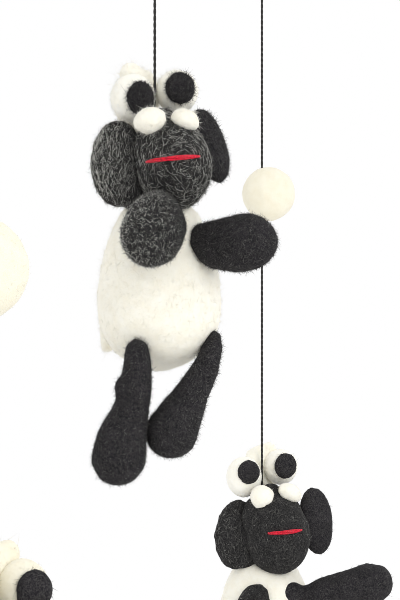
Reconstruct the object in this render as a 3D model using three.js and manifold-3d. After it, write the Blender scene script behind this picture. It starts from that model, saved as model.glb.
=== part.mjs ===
// A hanging mobile: three needle-felted wool sheep on twisted cords, each with a felt ball
// threaded above it, under a wooden bar that hangs by a bridle cord from a wooden ring.
// Millimetres, +Z up. The origin is the point where the ring hangs, and the bar runs along X.

import * as THREE from 'three';
import { mergeVertices } from 'three/addons/utils/BufferGeometryUtils.js';
import Module from 'manifold-3d';

const wasm = await Module();
wasm.setup();

// ---------------------------------------------------------------- driving dimensions

const GAP = 0.3;              // clear space between pieces that touch
const STRAND_SPACING = 155;   // between neighbouring cords along the bar

const RING_RADIUS = 15;       // to the middle of the ring's section
const RING_SECTION = 3;       // radius of the ring's round section
const BAR_Z = -120;           // height of the bar's axis
const BAR_LENGTH = 344;
const BAR_RADIUS = 4;
const BRIDLE_REACH = 125;     // from the bar's middle to each hole of the bridle
const CORD_RADIUS = 0.5;
const CORD_SIDES = 8;
const KNOT_RADIUS = 1.7;
const CORD_DEPTH = -15;       // how far down in the head the cord ends, from the cheeks' tops

// ---------------------------------------------------------------- materials

const felt = (color) => new THREE.MeshStandardMaterial({ color, roughness: 0.95, metalness: 0 });
const creamWool = felt('#f3efdd');
const charcoalWool = felt('#2f2d30');
const redThread = new THREE.MeshStandardMaterial({ color: '#c4142a', roughness: 0.55, metalness: 0 });
const blackCord = new THREE.MeshStandardMaterial({ color: '#1d1d1c', roughness: 0.8, metalness: 0 });
const beech = new THREE.MeshStandardMaterial({ color: '#cfa877', roughness: 0.6, metalness: 0 });

// ---------------------------------------------------------------- solids

// A closed solid from a three.js geometry: shared corners merged, collapsed triangles dropped.
function solid(geometry) {
  geometry.deleteAttribute('normal');
  geometry.deleteAttribute('uv');
  const merged = mergeVertices(geometry, 1e-4);
  const index = Array.from(merged.index.array);
  const kept = [];
  for (let i = 0; i < index.length; i += 3) {
    const [a, b, c] = index.slice(i, i + 3);
    if (a !== b && b !== c && c !== a) kept.push(a, b, c);
  }
  return new wasm.Manifold(new wasm.Mesh({
    numProp: 3,
    vertProperties: Float32Array.from(merged.attributes.position.array),
    triVerts: Uint32Array.from(kept),
  }));
}

function toMesh(name, material, manifold) {
  const { vertProperties, triVerts } = manifold.getMesh();
  const geometry = new THREE.BufferGeometry();
  geometry.setAttribute('position', new THREE.BufferAttribute(vertProperties, 3));
  geometry.setIndex(new THREE.BufferAttribute(triVerts, 1));
  geometry.computeVertexNormals();
  const mesh = new THREE.Mesh(geometry, material);
  mesh.name = name;
  return mesh;
}

// Every form below is a function of how far it is grown, so that a neighbour can be cut back
// by the same form grown by the gap.

// A felted lump: an ellipsoid of three half sizes, turned by three angles in degrees.
const lump = ({ at, half, turn = [0, 0, 0] }, around, rings) => (grow) => {
  const geometry = new THREE.SphereGeometry(1, around, rings);
  geometry.rotateX(Math.PI / 2);
  geometry.scale(half[0] + grow, half[1] + grow, half[2] + grow);
  const angles = turn.map(THREE.MathUtils.degToRad);
  geometry.applyMatrix4(new THREE.Matrix4().makeRotationFromEuler(new THREE.Euler(...angles)));
  geometry.translate(...at);
  return solid(geometry);
};

// A rolled form with rounded ends: a lathe profile bent along the curve through the points.
// `radii` are its radii at equal steps along the curve.
const roll = ({ path, radii }, around, rings) => (grow) => {
  const curve = new THREE.CatmullRomCurve3(path.map((p) => new THREE.Vector3(...p)));
  const length = curve.getLength();
  const swelling = new THREE.SplineCurve(radii.map((r, i) => new THREE.Vector2(i, r)));
  const roundEnd = (distance, radius) => {
    const rest = 1 - Math.min(1, distance / radius);
    return Math.sqrt(1 - rest * rest);
  };
  const along = (ring) => (1 - Math.cos((Math.PI * ring) / rings)) / 2;
  const profile = [];
  for (let ring = 0; ring <= rings; ring += 1) {
    const u = along(ring);
    const ends = roundEnd(u * length, radii[0]) * roundEnd((1 - u) * length, radii.at(-1));
    const tip = ring === 0 || ring === rings;
    profile.push(new THREE.Vector2(tip ? 0 : swelling.getPoint(u).y * ends + grow, ring));
  }
  const geometry = new THREE.LatheGeometry(profile, around);
  const position = geometry.attributes.position;
  const { normals } = curve.computeFrenetFrames(rings, false);
  const spot = new THREE.Vector3();
  for (let v = 0; v < position.count; v += 1) {
    const u = along(Math.round(position.getY(v)));
    const tangent = curve.getTangentAt(u);
    const side = normals[Math.round(u * rings)].clone().projectOnPlane(tangent).normalize();
    const up = new THREE.Vector3().crossVectors(tangent, side);
    curve.getPointAt(u, spot);
    spot.addScaledVector(tangent, (2 * u - 1) * grow);
    spot.addScaledVector(side, position.getX(v));
    spot.addScaledVector(up, -position.getZ(v));
    position.setXYZ(v, spot.x, spot.y, spot.z);
  }
  return solid(geometry);
};

const joined = (...forms) => (grow) => forms.map((form) => form(grow)).reduce((a, b) => a.add(b));

const cut = (whole, tools) => tools.reduce((a, b) => a.subtract(b), whole);

const boxesMeet = (a, b) => {
  const [first, second] = [a.boundingBox(), b.boundingBox()];
  return [0, 1, 2].every((k) => first.min[k] < second.max[k] && second.min[k] < first.max[k]);
};

// ---------------------------------------------------------------- the sheep's sizes

// A sheep faces -Y with its cord down its Z axis, and its origin is level with the tops of its
// cheeks. Its own right side is at -X. `at` is a middle, `half` a half size, `turn` in degrees.
const middleSheep = {
  name: 'middle_sheep',
  head: {
    skull: { at: [2.6, -7, -14.5], half: [11.8, 12, 10.5] },
    muzzle: { at: [3.7, -9.5, -20.4], half: [11.9, 14.5, 13.4] },
    brow: { at: [0.6, -7.2, -4.4], half: [4.8, 4.2, 3.8] },
  },
  mouth: { from: -66, to: 21, height: [-19.1, -17.4] },
  eyes: {
    right: { at: [-7.6, -0.1, 3], half: [7.3, 7.3, 7.7] },
    left: { at: [7.6, 0, 5.5], half: [7, 7, 7] },
  },
  pupils: {
    right: { at: [-7, -7.2, 2.3], half: [4.7, 2.3, 5.5], turn: [0, 0, 4] },
    left: { at: [6.8, -6.3, 6.1], half: [5.1, 2.4, 5.2], turn: [0, 0, -6] },
  },
  cheeks: {
    right: { at: [-5.8, -14, -5.6], half: [5.8, 4.2, 4], turn: [0, -18, 0] },
    left: { at: [5.9, -14.4, -5.3], half: [5, 4.2, 3.6], turn: [0, 20, 0] },
  },
  ears: {
    right: { at: [-13.2, -1.9, -18.8], half: [9.6, 3.3, 14.4], turn: [0, 0, -38] },
    left: { at: [16.8, -6.4, -12.6], half: [9.1, 3, 12.8], turn: [0, -20, 42] },
  },
  topknot: { at: [-4, 7.6, 3], half: [8, 5.6, 11] },
  curls: [[-6, 8.5, 12], [-1, 9, 9.5]],
  body: { at: [1.4, -0.4], top: -27, bottom: -86.5, radii: [7.5, 12.6, 16.6, 19, 20.1, 20, 18, 13] },
  tail: { path: [[-4, 17, -68], [-9, 21.5, -71], [-12.4, 20, -77], [-9.6, 17.6, -81]], radii: [2.6, 2.6, 2] },
  arms: {
    right: {
      path: [[-1.4, -8, -34], [-4.8, -20, -34.6], [-9.4, -31, -40.4], [-15.6, -41, -50.2]],
      radii: [4.6, 6.2, 9.9, 7.6],
    },
    left: { path: [[8, -8, -41], [13.2, -15.5, -45.2], [28.2, -35.6, -44.2]], radii: [3.6, 7, 8.8, 7.8] },
  },
  legs: {
    right: {
      path: [[-10.6, -14.6, -76], [-10.9, -16.8, -88], [-12, -16.2, -96], [-16, -14.8, -110], [-17, -14.4, -122.5]],
      radii: [3.6, 3.9, 4.6, 5.4, 7.5, 8.5, 7.8],
    },
    left: {
      path: [[17, -10.5, -72.6], [14.6, -14.4, -82], [8.6, -16.2, -92], [0.6, -16, -106.3], [-2.4, -15.6, -113.6]],
      radii: [1.8, 3.4, 4.3, 5.6, 8.3, 8.7],
    },
  },
};

// The right and left sheep are the same pattern, felted a little differently by hand.
const rightSheep = {
  ...middleSheep,
  name: 'right_sheep',
  head: {
    skull: { at: [-0.5, -7.5, -14], half: [12.4, 12, 10.5] },
    muzzle: { at: [0, -10.5, -21.4], half: [12.1, 14.5, 14.8] },
    brow: { at: [-0.8, -7.2, -4.2], half: [4.8, 4.2, 3.8] },
  },
  mouth: { from: -57, to: 7, height: [-18.7, -17.5] },
  eyes: {
    right: { at: [-8.2, 1, 2], half: [7.2, 7, 8] },
    left: { at: [8.4, -1, 5.4], half: [7.2, 7, 7] },
  },
  pupils: {
    right: { at: [-10.4, -5.2, 4.4], half: [4.6, 2.3, 4.9], turn: [0, 0, -24] },
    left: { at: [6.2, -7.6, 6.4], half: [4.8, 2.3, 5.2], turn: [0, 12, -20] },
  },
  cheeks: {
    right: { at: [-8.2, -11.4, -5.2], half: [5.4, 4.6, 4.8], turn: [0, -8, 0] },
    left: { at: [3.2, -14.4, -3.8], half: [5.8, 4.2, 3.8], turn: [0, 32, 0] },
  },
  ears: {
    right: { at: [-12, 0.4, -21], half: [9.2, 3.2, 14.2], turn: [0, 6, -42] },
    left: { at: [17.2, -13.6, -16], half: [8.4, 3.2, 14], turn: [0, -10, 4] },
  },
  topknot: { at: [4, 6.5, 3.6], half: [7.6, 5.6, 10.4] },
  curls: [[7, 5, 11.4], [1.6, 8, 9]],
  arms: {
    right: { path: [[-7, -8, -41], [-12, -12, -47], [-19, -16, -58]], radii: [4.4, 6, 7.6, 7.4] },
    left: {
      path: [[4.4, -9, -43], [8.6, -16.5, -45.8], [18.6, -30.2, -42.2], [31, -44.6, -36.9]],
      radii: [5, 3.2, 6.6, 6.9, 7.9, 7.4],
    },
  },
};

const leftSheep = {
  ...middleSheep,
  name: 'left_sheep',
  eyes: {
    right: { at: [-7.4, -3.4, 6], half: [7.2, 7.2, 7.6] },
    left: { at: [7.8, -5.3, 3.5], half: [7, 7.2, 7.2] },
  },
  pupils: {
    right: { at: [-7, -10.2, 6], half: [4.6, 2.3, 5.1], turn: [0, 0, 4] },
    left: { at: [7.3, -12.3, 3.6], half: [5.2, 2.4, 5.3], turn: [0, 0, -5] },
  },
  topknot: { at: [3.2, 1, 3.8], half: [8, 6, 11] },
  curls: [[7.2, 0.4, 11.4], [-1.4, 1.6, 11]],
  cheeks: {
    right: { at: [-4.4, -17.4, -5.4], half: [5.6, 4.2, 4], turn: [0, -14, 0] },
    left: { at: [7.2, -16.2, -5.6], half: [5.2, 4.2, 3.8], turn: [0, 18, 0] },
  },
};

// The strands along the bar: where the cord hangs, how long it is from the bar's axis to the
// cheeks' tops, and which way the sheep faces, in degrees.
const strands = [
  {
    name: 'left', sheep: leftSheep, x: -STRAND_SPACING, drop: 306.6, facing: -37,
    ball: { radius: 13, above: 84.6, offset: [-0.4, 1.5] },
  },
  {
    name: 'middle', sheep: middleSheep, x: 0, drop: 166.6, facing: -57,
    ball: { radius: 12, above: 100, offset: [0.3, -1] },
  },
  {
    name: 'right', sheep: rightSheep, x: STRAND_SPACING, drop: 303.5, facing: -41,
    ball: { radius: 10.6, above: 116.5, offset: [0.7, -2.6] },
  },
];

// ---------------------------------------------------------------- making one sheep

// The mouth's thread follows the muzzle from one angle to the other.
function mouthPath(muzzle, mouth) {
  const steps = 6;
  return Array.from({ length: steps }, (_, i) => {
    const t = i / (steps - 1);
    const angle = THREE.MathUtils.degToRad(THREE.MathUtils.lerp(mouth.from, mouth.to, t));
    const z = THREE.MathUtils.lerp(...mouth.height, t);
    const width = Math.sqrt(1 - ((z - muzzle.at[2]) / muzzle.half[2]) ** 2);
    return [
      muzzle.at[0] + (muzzle.half[0] + 0.2) * width * Math.sin(angle),
      muzzle.at[1] - (muzzle.half[1] + 0.2) * width * Math.cos(angle),
      z,
    ];
  });
}

// All the forms of one sheep, in the order in which they are felted on.
function sheepForms(sheep) {
  const { head, mouth, topknot, curls, body, tail } = sheep;
  const [x, y] = body.at;
  const egg = { path: [[x, y, body.top], [x, y, body.bottom]], radii: body.radii };
  const thread = { path: mouthPath(head.muzzle, mouth), radii: [0.7, 1.1, 1.1, 1, 0.6] };
  const tuft = curls.map((at) => lump({ at, half: [3.8, 3.2, 3.8] }, 6, 4));
  const forms = [
    ['head', charcoalWool, joined(lump(head.skull, 12, 7), lump(head.muzzle, 12, 8), lump(head.brow, 7, 4))],
    ['body', creamWool, roll(egg, 12, 9)],
    ['mouth', redThread, roll(thread, 5, 7)],
    ['topknot', creamWool, joined(lump(topknot, 8, 6), ...tuft)],
    ['tail', creamWool, roll(tail, 6, 4)],
  ];
  for (const side of ['left', 'right']) {
    forms.push(
      [`${side}_eye`, creamWool, lump(sheep.eyes[side], 9, 6)],
      [`${side}_pupil`, charcoalWool, lump(sheep.pupils[side], 8, 5)],
      [`${side}_cheek`, creamWool, lump(sheep.cheeks[side], 7, 5)],
      [`${side}_ear`, charcoalWool, lump(sheep.ears[side], 9, 6)],
      [`${side}_arm`, charcoalWool, roll(sheep.arms[side], 8, 7)],
      [`${side}_leg`, charcoalWool, roll(sheep.legs[side], 8, 8)],
    );
  }
  return forms;
}

// A straight cord down the Z axis, between two heights.
const plainCord = (top, bottom) => (grow) => {
  const radius = CORD_RADIUS + grow;
  const outline = [[0, bottom - grow], [radius, bottom - grow], [radius, top + grow], [0, top + grow]];
  return solid(new THREE.LatheGeometry(outline.map((p) => new THREE.Vector2(...p)), CORD_SIDES)
    .rotateX(Math.PI / 2));
};

// Each later piece is cut back where it meets an earlier one.
function makeSheep(sheep) {
  const group = new THREE.Group();
  const earlier = [plainCord(40, CORD_DEPTH)(GAP)];
  for (const [name, material, form] of sheepForms(sheep)) {
    const whole = form(0);
    const met = earlier.filter((other) => boxesMeet(whole, other));
    group.add(toMesh(`${sheep.name}_${name}`, material, cut(whole, met)));
    earlier.push(form(GAP));
  }
  return group;
}

// ---------------------------------------------------------------- strands and hanger

function makeStrand({ name, sheep, x, drop, facing, ball }) {
  const strand = new THREE.Group();
  strand.position.set(x, 0, BAR_Z);

  const knotZ = BAR_RADIUS + KNOT_RADIUS;
  const knot = lump({ at: [0, 0, knotZ], half: [KNOT_RADIUS, KNOT_RADIUS, KNOT_RADIUS] }, 7, 5);
  const cord = joined(plainCord(knotZ, CORD_DEPTH - drop), knot)(0);
  strand.add(toMesh(`${name}_cord`, blackCord, cord));

  const middle = [...ball.offset, ball.above - drop];
  const round = lump({ at: middle, half: [ball.radius, ball.radius, ball.radius] }, 10, 7)(0);
  const threaded = cut(round, [plainCord(knotZ, CORD_DEPTH - drop)(GAP)]);
  strand.add(toMesh(`${name}_ball`, creamWool, threaded));

  const figure = makeSheep(sheep);
  figure.position.z = -drop;
  figure.rotation.z = THREE.MathUtils.degToRad(facing);
  strand.add(figure);
  return strand;
}

// The bridle: up through one hole of the bar from the knot below it, over the ring's lower
// edge inside, and down through the other hole.
function makeBridle() {
  const ringFloor = -2 * (RING_RADIUS - RING_SECTION) + CORD_RADIUS + GAP;
  const under = -BAR_RADIUS - KNOT_RADIUS;
  const half = [
    [BRIDLE_REACH, BAR_Z + under], [BRIDLE_REACH, BAR_Z + BAR_RADIUS], [BRIDLE_REACH - 3, BAR_Z + 9],
    [BRIDLE_REACH * 0.75, BAR_Z + 30], [BRIDLE_REACH * 0.5, BAR_Z + 50], [BRIDLE_REACH * 0.25, BAR_Z + 71],
    [8, ringFloor - 6], [3, ringFloor - 1.1],
  ];
  const left = half.map(([x, z]) => new THREE.Vector3(-x, 0, z));
  const right = half.map(([x, z]) => new THREE.Vector3(x, 0, z)).reverse();
  const route = new THREE.CatmullRomCurve3([...left, new THREE.Vector3(0, 0, ringFloor), ...right]);
  // Two steps for each stretch between points, so that the steps crowd at the bends.
  route.getPointAt = route.getPoint;
  route.getTangentAt = route.getTangent;
  const steps = 2 * (route.points.length - 1);
  const section = new THREE.Shape();
  section.absarc(0, 0, CORD_RADIUS, 0, 2 * Math.PI);
  const tube = new THREE.ExtrudeGeometry(section, { extrudePath: route, steps, curveSegments: CORD_SIDES / 2 });
  const knots = [-1, 1].map((side) => lump({
    at: [side * BRIDLE_REACH, 0, BAR_Z + under],
    half: [KNOT_RADIUS, KNOT_RADIUS, KNOT_RADIUS],
  }, 7, 5)(0));
  return toMesh('bridle_cord', blackCord, knots.reduce((a, b) => a.add(b), solid(tube)));
}

function makeBar() {
  const bar = new THREE.CylinderGeometry(BAR_RADIUS, BAR_RADIUS, BAR_LENGTH, 16);
  const holes = [-BRIDLE_REACH, BRIDLE_REACH, ...strands.map((strand) => strand.x)].map((x) => {
    const drill = new THREE.CylinderGeometry(CORD_RADIUS + GAP, CORD_RADIUS + GAP, 3 * BAR_RADIUS, CORD_SIDES);
    return solid(drill.rotateX(Math.PI / 2).translate(x, 0, 0));
  });
  const mesh = toMesh('bar', beech, cut(solid(bar.rotateZ(Math.PI / 2)), holes));
  mesh.position.z = BAR_Z;
  return mesh;
}

function makeRing() {
  const torus = new THREE.TorusGeometry(RING_RADIUS, RING_SECTION, 8, 15);
  const mesh = toMesh('hanging_ring', beech, solid(torus.rotateY(Math.PI / 2)));
  mesh.position.z = RING_SECTION - RING_RADIUS;
  return mesh;
}

const mobile = new THREE.Group();
mobile.add(makeRing(), makeBridle(), makeBar(), ...strands.map(makeStrand));

export default mobile;
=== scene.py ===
# %% [markdown]
# # A hanging mobile of needle-felted sheep
#
# Three small sheep hang on twisted cords from a beech bar, each with a felt ball threaded
# above it. Needle felt is loose wool that a barbed needle has stabbed until it holds its shape,
# so it has no hard edge anywhere: every outline ends in fine fibres. This lesson starts from the
# plain solids of the construction model, rounds them into felt, and then grows real fibres on
# them, because the fibres, and not the surface under them, are what the eye reads as wool.

# %% Load the frame
import math

import bpy
import numpy as np
from mathutils import Matrix, Vector
from mathutils.bvhtree import BVHTree


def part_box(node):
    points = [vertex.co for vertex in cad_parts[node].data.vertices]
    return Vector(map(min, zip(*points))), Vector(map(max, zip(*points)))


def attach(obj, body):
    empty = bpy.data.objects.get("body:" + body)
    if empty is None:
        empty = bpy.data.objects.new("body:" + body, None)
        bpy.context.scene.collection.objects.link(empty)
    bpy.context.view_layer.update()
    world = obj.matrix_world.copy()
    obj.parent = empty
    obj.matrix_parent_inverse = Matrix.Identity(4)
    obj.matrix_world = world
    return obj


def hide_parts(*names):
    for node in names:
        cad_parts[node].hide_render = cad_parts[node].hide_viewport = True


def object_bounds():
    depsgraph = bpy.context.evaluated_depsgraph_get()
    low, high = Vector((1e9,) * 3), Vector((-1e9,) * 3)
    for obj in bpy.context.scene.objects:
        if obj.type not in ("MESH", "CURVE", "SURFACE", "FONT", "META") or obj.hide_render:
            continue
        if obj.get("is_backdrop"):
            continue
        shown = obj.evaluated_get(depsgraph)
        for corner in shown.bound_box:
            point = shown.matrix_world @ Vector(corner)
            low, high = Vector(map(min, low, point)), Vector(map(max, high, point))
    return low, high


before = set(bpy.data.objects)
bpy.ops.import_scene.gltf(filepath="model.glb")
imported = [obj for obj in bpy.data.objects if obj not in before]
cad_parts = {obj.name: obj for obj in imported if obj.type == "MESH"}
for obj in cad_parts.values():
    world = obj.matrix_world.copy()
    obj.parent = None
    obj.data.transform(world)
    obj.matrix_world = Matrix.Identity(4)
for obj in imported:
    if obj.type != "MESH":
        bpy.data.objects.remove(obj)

MM = 0.001
CAD_LOW, CAD_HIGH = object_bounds()
print("nodes:", len(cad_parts), "box:", [round(v, 3) for v in (*CAD_LOW, *CAD_HIGH)])

# %% [markdown]
# ## The camera
#
# The mobile hangs, so the camera stands level with it and close, with a long lens, and frames
# the middle sheep whole. The bar runs away from the camera at an angle, which is why one
# neighbour looks smaller and the other is only just in view. All of this is worked out from the
# middle cord: how far back the camera stands, how far to the right of it and how high.

# %% Camera
VIEW_TURN = math.radians(14.98)      # between the bar and the line of sight
VIEW_DISTANCE = 650 * MM             # from the middle cord
VIEW_RIGHT = 14.9 * MM               # the cord stands this far left of the lens
VIEW_HEIGHT = -350 * MM              # from the point where the mobile hangs

ahead = Vector((math.cos(VIEW_TURN), math.sin(VIEW_TURN), 0))
rightward = Vector((math.sin(VIEW_TURN), -math.cos(VIEW_TURN), 0))

bpy.ops.object.camera_add()
camera = bpy.context.object
camera.name = "camera"
camera.data.sensor_width = 36
camera.data.lens = 118.2
camera.location = rightward * VIEW_RIGHT - ahead * VIEW_DISTANCE + Vector((0, 0, VIEW_HEIGHT))
camera.rotation_euler = (math.radians(90), 0, math.atan2(-ahead.x, ahead.y))
bpy.context.scene.camera = camera
bpy.context.scene.cycles.filter_width = 0.9      # keeps fine fibres crisp
print("camera:", [round(v, 3) for v in camera.location])

# %% [markdown]
# ## Small helpers
#
# An operator acts on everything that is selected, so `pick` first clears the selection.
# `finish_with` adds one modifier after another and applies each, so that the mesh itself holds
# the result. `tubes` wraps many paths at once in thin closed tubes: cords, thread and wool
# fibres are all made by it.

# %% Selecting and applying
def pick(*pieces):
    """Select only these pieces and make the first one active."""
    bpy.ops.object.select_all(action="DESELECT")
    for piece in pieces:
        piece.select_set(True)
    bpy.context.view_layer.objects.active = pieces[0]


def finish_with(piece, *modifiers):
    """Apply modifiers to a piece, one after another. Each is (kind, settings)."""
    pick(piece)
    for kind, settings in modifiers:
        modifier = piece.modifiers.new(kind.lower(), kind)
        for name, value in settings.items():
            setattr(modifier, name, value)
        bpy.ops.object.modifier_apply(modifier=modifier.name)


def settle(piece):
    """Put a piece's place into its mesh, so that its object sits at the origin."""
    pick(piece)
    bpy.ops.object.transform_apply(location=True, rotation=True, scale=True)


def join(pieces):
    """Join several pieces into the first one."""
    pick(*pieces)
    bpy.ops.object.join()
    return pieces[0]


def mesh_piece(name, points, faces):
    """A new piece from points and faces, smoothly shaded."""
    mesh = bpy.data.meshes.new(name)
    mesh.from_pydata(points.tolist(), [], faces)
    mesh.shade_smooth()
    piece = bpy.data.objects.new(name, mesh)
    bpy.context.collection.objects.link(piece)
    return piece


# %% Tubes round paths
def unit(vectors):
    """Scale vectors to length 1."""
    return vectors / np.maximum(np.linalg.norm(vectors, axis=-1, keepdims=True), 1e-12)


def tubes(name, paths, radii, sides, across, pointed=False):
    """Wrap each path in a closed tube.

    `paths` is (tubes, points, 3), `radii` one radius a point, and `across` a direction that no
    path runs along. A pointed tube closes in one point at its far end.
    """
    count, points, _ = paths.shape
    along = unit(np.gradient(paths, axis=1))
    side = unit(np.cross(along, across))
    other = np.cross(along, side)
    turn = 2 * math.pi * np.arange(sides) / sides
    wide = np.cos(turn)[:, None] * side[:, :, None] + np.sin(turn)[:, None] * other[:, :, None]
    rings = paths[:, :, None] + wide * np.asarray(radii)[:, None, None]
    rings = rings.reshape(count, points * sides, 3)
    last = points - 1
    if pointed:
        rings = np.concatenate([rings[:, :last * sides], paths[:, last:]], axis=1)
    faces = [tuple(reversed(range(sides)))]
    for ring in range(last):
        for k in range(sides):
            a, b = ring * sides + k, ring * sides + (k + 1) % sides
            if pointed and ring == last - 1:
                faces.append((a, b, last * sides))
            else:
                faces.append((a, b, b + sides, a + sides))
    if not pointed:
        faces.append(tuple(last * sides + k for k in range(sides)))
    size = rings.shape[1]
    starts = range(0, count * size, size)
    every = [tuple(start + v for v in face) for start in starts for face in faces]
    return mesh_piece(name, rings.reshape(-1, 3), every)


# %% [markdown]
# ## The cords
#
# Each sheep hangs on a fine black cotton cord of two plies, twisted round each other, a
# millimetre thick in all. A cord held taut by a weight is straight, so its route is a line from
# the knot on the bar down into the head. The bridle carries the bar: it comes up through one
# hole, passes over the inside of the ring and goes down through the other hole. Its route is the
# list of points that the construction model uses. The twist is real geometry, two helical tubes,
# because it shows along the edge of the cord.

# %% Routes
CORD = 1.0 * MM                # the twisted cord's diameter, at its widest
PLY_OFFSET = CORD * 0.13       # from the cord's middle to the middle of a ply
PLY_RADIUS = CORD * 0.37
PLY_TURN = 4.4 * MM            # length of one full turn of the plies
STEPS_PER_TURN = 8
HEAD_DEPTH = 15 * MM           # how far a cord goes into the head, below the cheeks' tops
KNOT = 1.7 * MM                # radius of a knot
SHEEP = {"left": -37, "middle": -57, "right": -41}       # which way each one faces, in degrees

BRIDLE_HALF = [
    (125, -125.7), (125, -116), (122, -111), (93.75, -90), (62.5, -70), (31.25, -49),
    (8, -29.2), (3, -24.3),
]
bridle_points = [(-x, 0, z) for x, z in BRIDLE_HALF] + [(0, 0, -23.2)]
bridle_points += [(x, 0, z) for x, z in BRIDLE_HALF[::-1]]


def smooth_route(points, step):
    """A centripetal Catmull-Rom curve through the points, cut in even steps."""
    points = np.array(points, float)
    points = np.vstack([2 * points[0] - points[1], points, 2 * points[-1] - points[-2]])
    t = np.linspace(0, 1, 60, endpoint=False)[:, None]
    stretches = []
    for before, start, end, after in zip(points, points[1:], points[2:], points[3:]):
        pairs = ((before, start), (start, end), (end, after))
        first, gap, last = (np.linalg.norm(b - a) ** 0.5 for a, b in pairs)
        leave = (start - before) / first - (end - before) / (first + gap) + (end - start) / gap
        arrive = (end - start) / gap - (after - start) / (gap + last) + (after - end) / last
        leave, arrive = leave * gap, arrive * gap
        stretches.append(
            (2 * t**3 - 3 * t**2 + 1) * start + (t**3 - 2 * t**2 + t) * leave
            + (3 * t**2 - 2 * t**3) * end + (t**3 - t**2) * arrive
        )
    fine = np.vstack([*stretches, points[-2:-1]])
    reach = np.concatenate([[0], np.cumsum(np.linalg.norm(np.diff(fine, axis=0), axis=1))])
    even = np.linspace(0, reach[-1], max(2, round(reach[-1] / step)))
    return np.stack([np.interp(even, reach, fine[:, k]) for k in range(3)], axis=1), reach[-1]


def knot_at(name, place, tilt):
    """A small overhand knot, drawn tight: a trefoil of cord about 3 mm across."""
    t = np.linspace(0, 2 * math.pi, 49)
    loop = np.stack([
        (2 + np.cos(3 * t)) * np.cos(2 * t), (2 + np.cos(3 * t)) * np.sin(2 * t), 1.5 * np.sin(3 * t),
    ], axis=1)
    loop *= (KNOT - CORD / 2) / 3
    knot = tubes(name, loop[None], np.full(len(t), CORD / 2), 7, np.array([0.1, 0.2, 1.0]))
    knot.data.transform(Matrix.Translation(place) @ Matrix.Rotation(math.radians(tilt), 4, "X"))
    return knot


def two_ply(name, route):
    """Two plies laid round each other along a route in the XZ plane."""
    across = np.array([0.0, 1.0, 0.0])
    along = unit(np.gradient(route, axis=0))
    other = np.cross(along, across)
    reach = np.concatenate([[0], np.cumsum(np.linalg.norm(np.diff(route, axis=0), axis=1))])
    plies = []
    for phase in (0, math.pi):
        angle = (2 * math.pi * reach / PLY_TURN + phase)[:, None]
        plies.append(route + PLY_OFFSET * (np.cos(angle) * across + np.sin(angle) * other))
    return tubes(name, np.array(plies), np.full(len(route), PLY_RADIUS), 6, across)


# %% Cords
cords = {}
for side in SHEEP:
    low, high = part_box(f"{side}_cord")
    middle = (low + high) / 2
    top = high.z - KNOT
    ends = [(middle.x, middle.y, top), (middle.x, middle.y, low.z)]
    route, length = smooth_route(ends, PLY_TURN / STEPS_PER_TURN)
    cord = two_ply(f"{side}_twisted_cord", route)
    join([cord, knot_at("knot", Vector(ends[0]), 20)])
    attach(cord, "root")
    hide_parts(f"{side}_cord")
    cords[side] = cord
    print(side, "cord:", round(length * 1000), "mm")

route, length = smooth_route(np.array(bridle_points) * MM, PLY_TURN / STEPS_PER_TURN)
bridle = two_ply("bridle_twisted_cord", route)
join([bridle] + [knot_at("knot", Vector(end), 160) for end in (route[0], route[-1])])
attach(bridle, "root")
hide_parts("bridle_cord")
cords["bridle"] = bridle
print("bridle:", round(length * 1000), "mm")

# %% [markdown]
# ## Floor and light
#
# The mobile hangs in a white studio. A white world lights it softly from all round and also
# gives the bright background that wool fibres glow against. One large soft lamp in front and to
# the right makes that side of the cream wool nearly white and leaves the other side a warm
# shade. The pale floor is well below the sheep.

# %% Floor and light
FLOOR_GAP = 450 * MM

bpy.ops.mesh.primitive_circle_add(
    vertices=96, radius=1.5, fill_type="NGON", location=(0, 0, CAD_LOW.z - FLOOR_GAP))
floor = bpy.context.object
floor.name = "floor"
floor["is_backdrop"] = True

world = bpy.data.worlds.new("white_studio")
world.use_nodes = True
world.node_tree.nodes["Background"].inputs["Color"].default_value = (1, 1, 1, 1)
world.node_tree.nodes["Background"].inputs["Strength"].default_value = 1.0
bpy.context.scene.world = world
bpy.context.scene.view_settings.view_transform = "Standard"


def soft_lamp(name, place, aim, size, watts):
    """A square lamp that looks at a point."""
    bpy.ops.object.light_add(type="AREA", location=place)
    lamp = bpy.context.object
    lamp.name = name
    lamp.data.size = size
    lamp.data.energy = watts
    lamp.rotation_euler = (aim - place).to_track_quat("-Z", "Y").to_euler()
    return lamp


aim = Vector((0, 0, VIEW_HEIGHT))
soft_lamp("key_lamp", aim + rightward * 0.8 - ahead * 1.1 + Vector((0, 0, 0.35)), aim, 0.8, 6)

# %% [markdown]
# ## From solid to felt
#
# A felted form is lumpy and soft, with no facets. The copy of each plain solid is remeshed into
# even little squares, smoothed until its facets are gone, and swollen again by about what the
# smoothing took away, so that it keeps its size and just meets its neighbours. Two cloud
# textures then push the surface in and out: slow lumps from the hand and small dimples from the
# needle. The middle sheep is the one seen whole, so its pieces are also subdivided once. The
# others go without, which keeps the whole mobile under a million triangles.

# %% Felted copies
hand_lumps = bpy.data.textures.new("hand_lumps", "CLOUDS")
hand_lumps.noise_scale = 7 * MM
needle_dimples = bpy.data.textures.new("needle_dimples", "CLOUDS")
needle_dimples.noise_scale = 1.6 * MM

# How each kind of piece is felted: remesh size, smoothing rounds, swell and lumps in mm.
FELTING = {
    "body": (1.7, 22, 1.05, 0.7),
    "head": (1.2, 26, 0.9, 0.5),
    "eye": (0.9, 18, 0.65, 0.3),
    "pupil": (0.5, 36, 0.55, 0.2),
    "cheek": (0.7, 10, 0.3, 1.2),
    "ear": (1.0, 22, 0.9, 0.4),
    "arm": (1.1, 24, 1.1, 0.5),
    "leg": (1.1, 18, 0.9, 0.5),
    "topknot": (0.9, 5, 0.45, 0.6),
    "tail": (0.7, 5, 0.4, 0.3),
    "ball": (1.3, 16, 0.8, 0.5),
}


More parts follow.
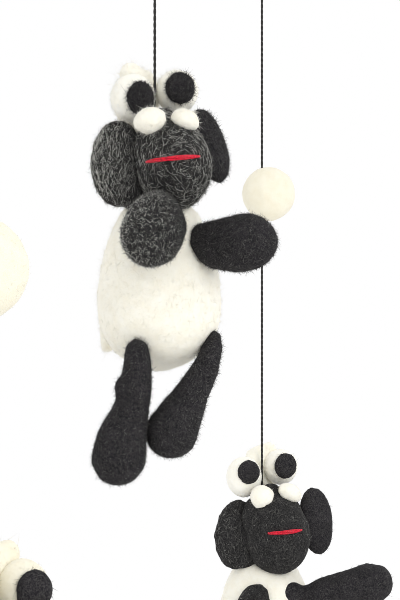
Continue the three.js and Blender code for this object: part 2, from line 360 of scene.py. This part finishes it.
def felted(node, kind, extra=None):
    """A felted copy of a CAD node. `extra` is a lump that is felted on with it."""
    grain, rounds, swell, lumps = FELTING[kind]
    finer = []
    if node.startswith("middle_sheep"):
        finer = [("SUBSURF", {"levels": 1, "render_levels": 1})]
    piece = bpy.data.objects.new(f"{node}_felt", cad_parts[node].data.copy())
    bpy.context.collection.objects.link(piece)
    pick(piece)
    bpy.ops.object.mode_set(mode="EDIT")
    bpy.ops.mesh.select_all(action="SELECT")
    bpy.ops.mesh.remove_doubles(threshold=0.001 * MM)
    bpy.ops.object.mode_set(mode="OBJECT")
    if extra:
        join([piece, extra])
    finish_with(
        piece,
        ("REMESH", {"mode": "VOXEL", "voxel_size": grain * MM}),
        ("SMOOTH", {"factor": 0.5, "iterations": rounds}),
        *finer,
        ("DISPLACE", {"mid_level": 0, "strength": swell * MM}),
        ("DISPLACE", {"texture": hand_lumps, "texture_coords": "LOCAL", "strength": lumps * MM}),
        ("DISPLACE", {"texture": needle_dimples, "texture_coords": "LOCAL", "strength": 0.3 * MM}),
    )
    piece.data.shade_smooth()
    return piece


# %% [markdown]
# ## Growing wool
#
# A wool fibre is about 0.03 mm thick, far too fine to show from a step away, so these are drawn
# several times as thick and a good deal fewer. There are three kinds. Standing fibres are short
# and straight and make the soft outline. A few stray ones are longer and bent. Lying fibres
# curve along the surface, where the needle has worked them in. Each fibre is a closed
# three-sided spike of a few faces, rooted in the felt. A number called tone is kept on every
# point: 0 is the plain felt and 1 the palest fibre, and the material turns it into colour. All
# random numbers come from one seeded generator, so the wool grows the same way each time.

# %% Points on a surface
dice = np.random.default_rng(20)


def spots_on(piece, per_square_mm):
    """Points spread evenly over a piece, and the normals there."""
    mesh = piece.data
    mesh.calc_loop_triangles()
    corners = np.empty(len(mesh.loop_triangles) * 3, np.int32)
    mesh.loop_triangles.foreach_get("vertices", corners)
    places = np.empty(len(mesh.vertices) * 3, np.float32)
    mesh.vertices.foreach_get("co", places)
    triangles = places.reshape(-1, 3).astype(float)[corners.reshape(-1, 3)]
    normals = np.cross(triangles[:, 1] - triangles[:, 0], triangles[:, 2] - triangles[:, 0])
    areas = np.linalg.norm(normals, axis=1) / 2
    count = max(8, round(areas.sum() / MM**2 * per_square_mm))
    chosen = dice.choice(len(triangles), count, p=areas / areas.sum())
    a, b = dice.random((2, count, 1))
    a, b = np.where(a + b > 1, 1 - a, a), np.where(a + b > 1, 1 - b, b)
    start, left, right = triangles[chosen].transpose(1, 0, 2)
    return start + a * (left - start) + b * (right - start), unit(normals[chosen])


def along_surface(normals, pull=0):
    """A random direction along the surface at each normal, drawn towards a pull."""
    loose = dice.normal(size=normals.shape) + pull
    return unit(loose - (loose * normals).sum(axis=1, keepdims=True) * normals)


# %% Standing, stray and lying fibres
ROOT = 0.2 * MM                                        # how deep a fibre starts in the felt
LIFTS = np.array([-0.08, 0.06, 0.07, -0.02]) * MM      # heights of a lying fibre's points


def standing(piece, density, length):
    """Short straight fibres that stand off the felt at all slants."""
    spots, normals = spots_on(piece, density)
    reach = length * MM * (0.3 + dice.gamma(2.0, 0.35, (len(spots), 1)))
    lean = unit(normals * dice.uniform(0.3, 1.0, (len(spots), 1)) + along_surface(normals) * 0.8)
    root = spots - normals * ROOT
    return np.stack([root, root + lean * reach], axis=1)


def stray(piece, density, length):
    """Longer bent fibres that have come loose."""
    spots, normals = spots_on(piece, density)
    reach = length * MM * dice.uniform(0.6, 1.3, (len(spots), 1)) / 3
    heading = unit(normals * 0.6 + along_surface(normals))
    bend = unit(along_surface(normals) - 0.4 * normals) * 0.55
    path = [spots - normals * ROOT]
    for _ in range(3):
        path.append(path[-1] + heading * reach)
        heading = unit(heading + bend)
    return np.stack(path, axis=1)


def lying(piece, density, length, lay):
    """Fibres that curve along the felt, pressed into it at both ends. `lay` gives their pull."""
    spots, normals = spots_on(piece, density)
    surface = BVHTree.FromObject(piece, bpy.context.evaluated_depsgraph_get())
    headings = along_surface(normals, lay(normals))
    bends = dice.normal(0, 0.36, len(spots))
    steps = length * MM * dice.uniform(0.5, 1.4, len(spots)) / 3
    paths = np.empty((len(spots), len(LIFTS), 3))
    for path, spot, normal, heading, bend, step in zip(paths, spots, normals, headings, bends, steps):
        place, heading, normal = Vector(spot), Vector(heading), Vector(normal)
        path[0] = place + normal * LIFTS[0]
        for k in range(1, len(LIFTS)):
            place, normal, _, _ = surface.find_nearest(place + heading * step)
            heading.rotate(Matrix.Rotation(bend, 3, normal))
            heading = (heading - normal * heading.dot(normal)).normalized()
            path[k] = place + normal * LIFTS[k]
    return paths


def set_tone(piece, tones):
    """Keep a tone on every point of a piece."""
    layer = piece.data.attributes.new("tone", "FLOAT", "POINT")
    layer.data.foreach_set("value", np.asarray(tones, np.float32))


def spikes(paths, thickness, tones):
    """Turn paths into closed spikes, each with its own tone."""
    radii = thickness / 2 * MM * np.linspace(1, 0.35, paths.shape[1])
    across = dice.normal(size=(len(paths), 1, 3))
    piece = tubes("fibres", paths, radii, 3, across, pointed=True)
    set_tone(piece, np.repeat(tones, len(piece.data.vertices) // len(paths)))
    return piece


# %% [markdown]
# ## The wool of each piece
#
# The body, eyes, cheeks, topknot, tail and ball are cream wool, whose fibres hardly show. The
# pupils, ears, arms and legs are charcoal wool with some grey in it. The head, the right ear and
# the right arm have the most pale fibres. On the head these are the wool's own. On the right ear
# and the right arm they are partly painted light: more of them are pale, and they crowd on the
# outer side, so that side looks lit. On the head they are laid round the muzzle and on an ear down
# its length. The left and right sheep get far fewer fibres than the middle one, which is seen
# whole: the right one hangs further off and the left one is only just in view.

# %% Wool
# Standing fibres a square mm, their length in mm and their palest tone, then lying fibres a
# square mm, their length in mm and their palest tone.
WOOL = {
    "body": (1.0, 1.2, 1.0, 0.07, 6, 1.0),
    "head": (3.2, 1.1, 0.7, 0.7, 4, 1.0),
    "eye": (2.0, 1.2, 1.0, 0, 0, 0),
    "pupil": (12.0, 1.2, 0.3, 0, 0, 0),
    "cheek": (2.8, 1.3, 1.0, 0, 0, 0),
    # The right ear and the right arm get more and paler fibres than the left ones: painted light on
    # their lit side.
    "right_ear": (5.2, 1.1, 0.8, 1.3, 3.5, 1.0),
    "left_ear": (5.2, 1.2, 0.3, 0.1, 4, 0.4),
    "right_arm": (5.6, 0.9, 1.0, 0.3, 2.5, 0.9),
    "left_arm": (5.6, 1.0, 0.5, 0.08, 2.5, 0.5),
    "leg": (5.6, 1.0, 0.5, 0.08, 2.5, 0.5),
    "topknot": (1.6, 2.0, 1.0, 0, 0, 0),
    "tail": (1.4, 1.6, 1.0, 0, 0, 0),
    "ball": (0.8, 1.2, 1.0, 0, 0, 0),
}
STRAY = (0.04, 1.7)                         # stray fibres a square mm, and their length in mm
THICK, FINE = 0.14, 0.09                    # thickness of standing and of other fibres, in mm
# On these parts the pale fibres on the outer side are painted light.
PAINTED_LIGHT_OUTSIDE = {"right_ear", "right_arm"}   # here the pale fibres crowd on the outer side
# The share of fibres, and by it the length and paleness, that each sheep's wool gets.
FULLNESS = {"middle": 1.0, "right": 0.15, "left": 0.2}

CREAM = {"body", "eye", "cheek", "topknot", "tail", "ball"}
PAIRS = ("eye", "pupil", "cheek", "ear", "arm", "leg")
PARTS = ["body", "head", "topknot", "tail"]
PARTS += [f"{side}_{part}" for side in ("left", "right") for part in PAIRS]


def kind_of(part):
    """The last word of a part's name: both arms are of the kind 'arm'."""
    return part.split("_")[-1]


def sheep_place(side):
    """From a sheep's own frame to the mobile's: it faces -Y, level with its cheeks' tops."""
    low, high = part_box(f"{side}_cord")
    place = Vector(((low.x + high.x) / 2, (low.y + high.y) / 2, low.z + HEAD_DEPTH))
    return Matrix.Translation(place) @ Matrix.Rotation(math.radians(SHEEP[side]), 4, "Z")


def lay_of(part, side):
    """How a part's wool is laid: round the muzzle, down an ear, or any way."""
    if part == "head":
        facing = np.array(sheep_place(side).to_3x3() @ Vector((0, -1, 0)))
        return lambda normals: (
            unit(np.cross(normals, facing)) * dice.choice([-1.2, 1.2], (len(normals), 1)))
    if kind_of(part) == "ear":
        return lambda normals: np.array([0, 0, 2.0])
    return lambda normals: 0


def grow_wool(piece, part, side):
    """Grow the fibres of its kind on a felted piece."""
    wool = WOOL[part if part in WOOL else kind_of(part)]
    up, up_length, up_pale, flat, flat_length, flat_pale = wool
    full = FULLNESS[side]
    outer = np.array(sheep_place(side).to_3x3() @ Vector((-1, 0, 0)))

    def tones(paths, pale, power):
        """Random tones, mostly dark for a high power, paler on some parts' outer side as painted light.
        """
        tone = pale * dice.random(len(paths)) ** power
        if part not in PAINTED_LIGHT_OUTSIDE:
            return tone
        out = paths[:, 0] @ outer
        return tone * np.interp(out, np.quantile(out, (0.15, 0.95)), (0.0, 1.8))

    set_tone(piece, np.zeros(len(piece.data.vertices)))
    # Cream fibres are mostly pale. On the right ear and arm more fibres are pale, as painted light.
    power = 0.5 if kind_of(part) in CREAM else 3 if part in PAINTED_LIGHT_OUTSIDE else 6
    paths = standing(piece, up * full, up_length * (0.7 + 0.3 * full))
    grown = [spikes(paths, THICK, tones(paths, up_pale, power))]
    paths = stray(piece, STRAY[0] * full, STRAY[1])
    grown.append(spikes(paths, FINE, tones(paths, up_pale, power)))
    if flat:
        paths = lying(piece, flat * (0.3 + 0.7 * full), flat_length, lay_of(part, side))
        grown.append(spikes(paths, FINE, tones(paths, flat_pale * (0.1 + 0.9 * full), 0.7)))
    return join([piece, *grown])


# %% [markdown]
# Four lumps are felted on with their pieces: one on the outside of the middle sheep's right
# knee, one at the shoulder of the right sheep's left arm, and one at the root of the middle and
# the right sheep's right ear, where the wool of the ear runs on round the cheek to the chin.

# %% The sheep
# Each lump's middle and half sizes in mm, in the sheep's own frame.
EXTRA_LUMPS = {
    "middle_sheep_right_leg": ((-14.8, -17.2, -91.5), (3.4, 3.1, 3.6)),
    "middle_sheep_right_ear": ((-8.5, -4.0, -25.0), (4.5, 3.5, 9.5)),
    "right_sheep_right_ear": ((-8.5, -2.5, -25.5), (4.5, 3.5, 9.0)),
    "right_sheep_left_arm": ((3.9, -14.4, -44.8), (5.2, 4.4, 4.9)),
}


def extra_lump(side, at, half):
    """A lump of wool that is felted on."""
    bpy.ops.mesh.primitive_uv_sphere_add(segments=16, ring_count=10, radius=1)
    lump = bpy.context.object
    stretch = Matrix.Diagonal((*(size * MM for size in half), 1))
    lump.matrix_world = sheep_place(side) @ Matrix.Translation(Vector(at) * MM) @ stretch
    settle(lump)
    return lump


felts = {}
for side in SHEEP:
    nodes = {f"{side}_ball": "ball"} | {f"{side}_sheep_{part}": part for part in PARTS}
    for node, part in nodes.items():
        kind = kind_of(part)
        extra = extra_lump(side, *EXTRA_LUMPS[node]) if node in EXTRA_LUMPS else None
        piece = felted(node, kind, extra)
        grow_wool(piece, part, side)
        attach(piece, "root")
        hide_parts(node)
        felts[node] = piece
counts = [sum(len(face.vertices) - 2 for face in piece.data.polygons) for piece in felts.values()]
print("felt pieces:", len(felts), "triangles:", sum(counts), "most:", max(counts))

# %% [markdown]
# ## The stitched mouth
#
# The mouth is one long stitch of red embroidery floss across the muzzle. Floss is a bundle of
# loose threads, so it is made of four thin tubes with hardly any twist, gathered at both
# ends where the needle went in. It follows the round of the muzzle from one angle to another.

# %% Mouths
FLOSS = 1.7 * MM         # width of the whole bundle
THREADS = 4
STITCH_POINTS = 33
# The muzzle's middle and half sizes, then the stitch's end angles and heights, all in mm and
# degrees in the sheep's own frame.
MOUTHS = {
    "middle": ((3.7, -9.5, -20.4), (11.9, 14.5, 13.4), (-66, 21), (-19.1, -17.4)),
    "right": ((0, -10.5, -21.4), (12.1, 14.5, 14.8), (-57, 7), (-18.7, -17.5)),
    "left": ((3.7, -9.5, -20.4), (11.9, 14.5, 13.4), (-66, 21), (-19.1, -17.4)),
}


def stitch(side):
    """Four threads side by side, over the muzzle."""
    middle, half, angles, heights = (np.array(values, float) for values in MOUTHS[side])
    t = np.linspace(0, 1, STITCH_POINTS)
    angle = np.radians(angles[0] + (angles[1] - angles[0]) * t)
    height = heights[0] + (heights[1] - heights[0]) * t
    level = np.sqrt(1 - ((height - middle[2]) / half[2]) ** 2)
    outward = np.stack([np.sin(angle), -np.cos(angle), np.zeros(STITCH_POINTS)], axis=1)
    centre = middle + outward * half * level[:, None]
    centre[:, 2] = height
    centre += outward * 0.5
    upward = np.array([0.0, 0.0, 1.0])
    gather = np.sin(math.pi * np.clip(t, 0.03, 0.97))[:, None] ** 0.45
    threads = []
    for k in range(THREADS):
        turn = 2 * math.pi * (k / THREADS + 0.35 * t)[:, None]
        spread = np.cos(turn) * upward + 0.6 * np.sin(turn) * outward
        threads.append((centre + spread * gather * 0.5) * MM)
    radii = FLOSS * 0.23 * (0.55 + 0.45 * gather[:, 0])
    piece = tubes(f"{side}_sheep_stitched_mouth", np.array(threads), radii, 6, upward)
    piece.data.transform(sheep_place(side))
    return piece


mouths = {side: stitch(side) for side in SHEEP}
for side, piece in mouths.items():
    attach(piece, "root")
    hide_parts(f"{side}_sheep_mouth")

# %% [markdown]
# ## The wooden hanger
#
# The bar is a turned beech dowel with a small hole for each cord, and the ring is turned from
# the same wood. The dowel starts as a cylinder: its end edges are bevelled, as sandpaper rounds
# them, and the holes are cut through it with a Boolean. The ring is a torus pressed slightly
# flat, as a ring turned on a lathe is.

# %% Bar
HOLE_RADIUS = 0.8 * MM


def beech_bar():
    """A dowel with rounded ends and a hole for each cord."""
    low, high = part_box("bar")
    middle, radius = (low + high) / 2, (high.z - low.z) / 2
    bpy.ops.mesh.primitive_cylinder_add(
        vertices=48, radius=radius, depth=high.x - low.x, location=middle,
        rotation=(0, math.radians(90), 0))
    bar = bpy.context.object
    bar.name = "beech_bar"
    settle(bar)
    bpy.ops.object.mode_set(mode="EDIT")
    bpy.ops.mesh.select_mode(type="EDGE")
    bpy.ops.mesh.select_all(action="DESELECT")
    bpy.ops.object.mode_set(mode="OBJECT")
    for edge in bar.data.edges:
        first, second = (bar.data.vertices[v].co for v in edge.vertices)
        edge.select = abs(first.x - second.x) < 1 * MM
    bpy.ops.object.mode_set(mode="EDIT")
    bpy.ops.mesh.bevel(offset=1.2 * MM, segments=4)
    bpy.ops.object.mode_set(mode="OBJECT")
    holes = [(box[0].x + box[1].x) / 2 for box in (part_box(f"{side}_cord") for side in SHEEP)]
    holes += [bridle_points[0][0] * MM, bridle_points[-1][0] * MM]
    for x in holes:
        bpy.ops.mesh.primitive_cylinder_add(
            vertices=16, radius=HOLE_RADIUS, depth=4 * radius, location=(x, 0, middle.z))
        drill = bpy.context.object
        finish_with(bar, ("BOOLEAN", {"object": drill, "operation": "DIFFERENCE", "solver": "EXACT"}))
        bpy.data.objects.remove(drill)
    pick(bar)
    bpy.ops.object.shade_smooth_by_angle(angle=math.radians(30))
    return bar


# %% Ring
def beech_ring():
    """A ring pressed slightly flat."""
    low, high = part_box("hanging_ring")
    middle, thick = (low + high) / 2, (high.x - low.x) / 2
    bpy.ops.mesh.primitive_torus_add(
        major_radius=(high.z - low.z) / 2 - thick, minor_radius=thick,
        major_segments=72, minor_segments=24, location=middle, rotation=(0, math.radians(90), 0))
    ring = bpy.context.object
    ring.name = "beech_ring"
    settle(ring)
    bpy.ops.object.mode_set(mode="EDIT")
    bpy.ops.mesh.select_all(action="SELECT")
    bpy.ops.transform.resize(value=(0.93, 1, 1))
    bpy.ops.object.mode_set(mode="OBJECT")
    ring.data.shade_smooth()
    return ring


wood = {"bar": beech_bar(), "hanging_ring": beech_ring()}
for node, piece in wood.items():
    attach(piece, "root")
    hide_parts(node)

# %% [markdown]
# ## Materials
#
# Each material starts from what the real one is. A colour is written as the hex value that a
# painter would pick on screen, and `linear` turns it into the light values that the shader
# works with. `add_node` adds any kind of node with its settings and links.

# %% Colours and nodes
def linear(colour):
    """An sRGB hex colour as linear red, green, blue and alpha."""
    parts = [int(colour[k:k + 2], 16) / 255 for k in (1, 3, 5)]
    return (*(v / 12.92 if v <= 0.04045 else ((v + 0.055) / 1.055) ** 2.4 for v in parts), 1.0)


def add_node(tree, kind, inputs, **settings):
    """Add a node. `inputs` gives a value, or another node's output, for each named socket."""
    node = tree.nodes.new(kind)
    for name, value in settings.items():
        setattr(node, name, value)
    for name, value in inputs.items():
        if isinstance(value, bpy.types.NodeSocket):
            tree.links.new(value, node.inputs[name])
        else:
            node.inputs[name].default_value = value
    return node


def new_material(name, **shader_values):
    """A new material, its node tree and its shader, with plain values set on the shader."""
    material = bpy.data.materials.new(name)
    material.use_nodes = True
    shader = material.node_tree.nodes["Principled BSDF"]
    for socket, value in shader_values.items():
        shader.inputs[socket.replace("_", " ")].default_value = value
    return material, material.node_tree, shader


def mix_colours(tree, share, first, second):
    """Mix two colours and give the result's socket."""
    inputs = {0: share, 6: first, 7: second}
    return add_node(tree, "ShaderNodeMix", inputs, data_type="RGBA").outputs[2]


def math_node(tree, operation, first, second=0.0):
    """One step of arithmetic on a socket."""
    return add_node(tree, "ShaderNodeMath", {0: first, 1: second}, operation=operation).outputs[0]


# %% [markdown]
# ## Wool felt
#
# Wool takes dye unevenly and felt has no weave: its pattern is a tangle of fibres. Where the
# mesh fibres stop, the material draws finer ones. A cloud pattern crosses its middle value along
# thin curving lines, and three such patterns laid over each other look like tangled wool. Specks
# of under half a millimetre stand for fibre ends, and a finer cloud roughens the surface. Felt
# scatters light and has hardly any highlight, only the soft light of its fuzz at the edges, so
# its specular level is low and it has some sheen. Light also goes a little way into pale wool,
# which makes it glow, so the pale felts let some of it pass below the surface.

# %% Felt material
def felt_material(name, wool, deep, pale, strands, sheen, glow):
    """Needle felt: `deep` and `wool` in clouds, with `pale` strands, specks and fibres."""
    material, tree, shader = new_material(
        name, Roughness=0.95, Specular_IOR_Level=0.12, Sheen_Weight=sheen, Sheen_Roughness=0.5,
        Subsurface_Weight=glow, Subsurface_Radius=(1.0, 0.95, 0.85), Subsurface_Scale=3 * MM)
    place = add_node(tree, "ShaderNodeTexCoord", {}).outputs["Object"]
    cloud = add_node(
        tree, "ShaderNodeTexNoise",
        {"Vector": place, "Scale": 1000 / 4, "Detail": 6.0, "Roughness": 0.65})
    spread = add_node(
        tree, "ShaderNodeMapRange", {"Value": cloud.outputs[0], "From Min": 0.35, "From Max": 0.65})
    colour = mix_colours(tree, spread.outputs[0], linear(deep), linear(wool))
    lines = None
    for seed, size in enumerate((0.8, 1.1, 1.6)):
        noise = add_node(
            tree, "ShaderNodeTexNoise",
            {"Vector": place, "W": 3.0 * seed, "Scale": 1000 / size, "Detail": 1.0, "Distortion": 0.4},
            noise_dimensions="4D")
        from_middle = math_node(tree, "ABSOLUTE", math_node(tree, "SUBTRACT", noise.outputs[0], 0.5))
        line = add_node(
            tree, "ShaderNodeMapRange",
            {"Value": from_middle, "From Max": 0.02, "To Min": 1.0, "To Max": 0.0}).outputs[0]
        lines = line if lines is None else math_node(tree, "MAXIMUM", lines, line)
    speck = add_node(tree, "ShaderNodeTexNoise", {"Vector": place, "Scale": 1000 / 0.4, "Detail": 1.0})
    specks = add_node(
        tree, "ShaderNodeMapRange", {"Value": speck.outputs[0], "From Min": 0.52, "From Max": 0.7})
    light = math_node(tree, "MAXIMUM", lines, specks.outputs[0])
    colour = mix_colours(tree, math_node(tree, "MULTIPLY", light, strands), colour, linear(pale))
    tone = add_node(tree, "ShaderNodeAttribute", {}, attribute_name="tone").outputs["Fac"]
    colour = mix_colours(tree, tone, colour, linear(pale))
    tree.links.new(colour, shader.inputs["Base Color"])
    fuzz = add_node(tree, "ShaderNodeTexNoise", {"Vector": place, "Scale": 1000 / 0.5, "Detail": 2.0})
    bump = add_node(
        tree, "ShaderNodeBump",
        {"Height": fuzz.outputs[0], "Strength": 0.4, "Distance": 0.25 * MM})
    tree.links.new(bump.outputs[0], shader.inputs["Normal"])
    return material


cream_felt = felt_material("cream_wool_felt", "#fbf8ec", "#f7f2e2", "#fffdf5", 0.2, 0.1, 0.2)
# A lighter copy of the cream felt for the eyes: painted light that lifts the shade falling on them.
painted_light_felt = felt_material("cream_wool_felt_painted_light", "#fffdf4", "#fbf7e9", "#fffff9", 0.2, 0.1, 0.2)
# A darker, warmer copy of the cream felt for the balls and the left sheep's head: painted shade.
painted_shade_felt = felt_material("cream_wool_felt_painted_shade", "#f1ecda", "#ece6d1", "#f7f3e4", 0.2, 0.1, 0.2)
charcoal_felt = felt_material("charcoal_wool_felt", "#242226", "#17161a", "#b4b2ac", 0.1, 0.02, 0.0)
# Near-white fibres: the head's own pale flecks, and on the right ear and arm partly painted light.
flecks_and_light_felt = felt_material("grey_flecked_wool_felt_painted_light", "#1f1e20", "#121113", "#fbfaf2", 0.05, 0.02, 0.0)

# %% [markdown]
# ## Cotton, floss and beech
#
# Polished cotton cord is black with a dull shine. Embroidery floss is mercerised, which makes
# its threads smooth and bright. Beech is pale and close-grained, with short brown flecks along
# the grain, a millimetre or two long.

# %% Thread materials
def thread_material(name, colour, dark, roughness, sheen):
    """Spun thread: fine streaks of a darker colour, on the floss painted shade between its threads."""
    material, tree, shader = new_material(
        name, Roughness=roughness, Specular_IOR_Level=0.3, Sheen_Weight=sheen, Sheen_Roughness=0.4)
    place = add_node(tree, "ShaderNodeTexCoord", {}).outputs["Object"]
    streak_and_shade = add_node(tree, "ShaderNodeTexNoise", {"Vector": place, "Scale": 1000 / 0.4, "Detail": 3.0})
    spread = add_node(
        tree, "ShaderNodeMapRange", {"Value": streak_and_shade.outputs[0], "From Min": 0.35, "From Max": 0.6})
    mixed = mix_colours(tree, spread.outputs[0], linear(dark), linear(colour))
    tree.links.new(mixed, shader.inputs["Base Color"])
    bump = add_node(
        tree, "ShaderNodeBump",
        {"Height": streak_and_shade.outputs[0], "Strength": 0.4, "Distance": 0.1 * MM})
    tree.links.new(bump.outputs[0], shader.inputs["Normal"])
    return material


black_cotton = thread_material("black_cotton_cord", "#2e2d2b", "#171615", 0.7, 0.1)
# The floss's dark red streaks are painted shade, standing for the shade between its threads.
red_floss = thread_material("red_embroidery_floss", "#e81c3a", "#8a0619", 0.3, 0.1)


# %% Beech material
def beech_material():
    """Oiled beech, with the grain along the bar."""
    material, tree, shader = new_material(
        "oiled_beech", Roughness=0.5, Coat_Weight=0.08, Coat_Roughness=0.4)
    place = add_node(tree, "ShaderNodeTexCoord", {}).outputs["Object"]
    along_grain = add_node(tree, "ShaderNodeMapping", {"Vector": place, "Scale": (0.06, 1.0, 1.0)})
    grain = add_node(
        tree, "ShaderNodeTexNoise",
        {"Vector": along_grain.outputs[0], "Scale": 1000 / 1.6, "Detail": 4.0})
    colour = mix_colours(tree, grain.outputs[0], linear("#c49562"), linear("#e2bd8c"))
    long_flecks = add_node(tree, "ShaderNodeMapping", {"Vector": place, "Scale": (0.25, 1.0, 1.0)})
    fleck = add_node(
        tree, "ShaderNodeTexNoise",
        {"Vector": long_flecks.outputs[0], "Scale": 1000 / 0.45, "Detail": 1.0})
    flecks = add_node(
        tree, "ShaderNodeMapRange", {"Value": fleck.outputs[0], "From Min": 0.64, "From Max": 0.7})
    share = math_node(tree, "MULTIPLY", flecks.outputs[0], 0.7)
    colour = mix_colours(tree, share, colour, linear("#8a5b35"))
    tree.links.new(colour, shader.inputs["Base Color"])
    bump = add_node(
        tree, "ShaderNodeBump",
        {"Height": grain.outputs[0], "Strength": 0.25, "Distance": 0.2 * MM})
    tree.links.new(bump.outputs[0], shader.inputs["Normal"])
    return material


oiled_beech = beech_material()


# %% Floor material
pale_floor, floor_tree, floor_shader = new_material("pale_matt_floor", Roughness=0.9)
floor_place = add_node(floor_tree, "ShaderNodeTexCoord", {}).outputs["Object"]
floor_cloud = add_node(floor_tree, "ShaderNodeTexNoise", {"Vector": floor_place, "Scale": 3.0})
floor_colour = mix_colours(floor_tree, floor_cloud.outputs[0], linear("#efeeec"), linear("#f5f4f2"))
floor_tree.links.new(floor_colour, floor_shader.inputs["Base Color"])


# %% Dress the pieces
def dress(piece, material):
    """Give a piece one material."""
    piece.data.materials.clear()
    piece.data.materials.append(material)


# The eyes get a lighter copy of the cream felt: painted light that lifts the shade falling on them.
# The balls and the left sheep's head get a darker, warmer copy: painted shade, as less light
# reaches them.
for node, piece in felts.items():
    kind = kind_of(node)
    if kind in CREAM:
        shaded = kind == "ball" or node.startswith("left_sheep") and kind != "body"
        dress(piece, painted_shade_felt if shaded else painted_light_felt if kind == "eye" else cream_felt)
    else:
        # The head's pale flecks are its own wool. On the right ear and arm they are partly painted
        # light.
        flecks_and_light = kind == "head" or node.endswith(("right_ear", "right_arm"))
        dress(piece, flecks_and_light_felt if flecks_and_light else charcoal_felt)
for piece in cords.values():
    dress(piece, black_cotton)
for piece in mouths.values():
    dress(piece, red_floss)
for piece in wood.values():
    dress(piece, oiled_beech)
dress(floor, pale_floor)

# %% [markdown]
# ## Measure and finish
#
# The dressed mobile has to stay the size of its construction model, so how far it reaches past
# that model's box on each side is printed.

# %% Sizes
shown_low, shown_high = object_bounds()
growth = [a - b for a, b in zip((*CAD_LOW, *shown_high), (*shown_low, *CAD_HIGH))]
print("grown by, mm:", [round(v / MM, 1) for v in growth])
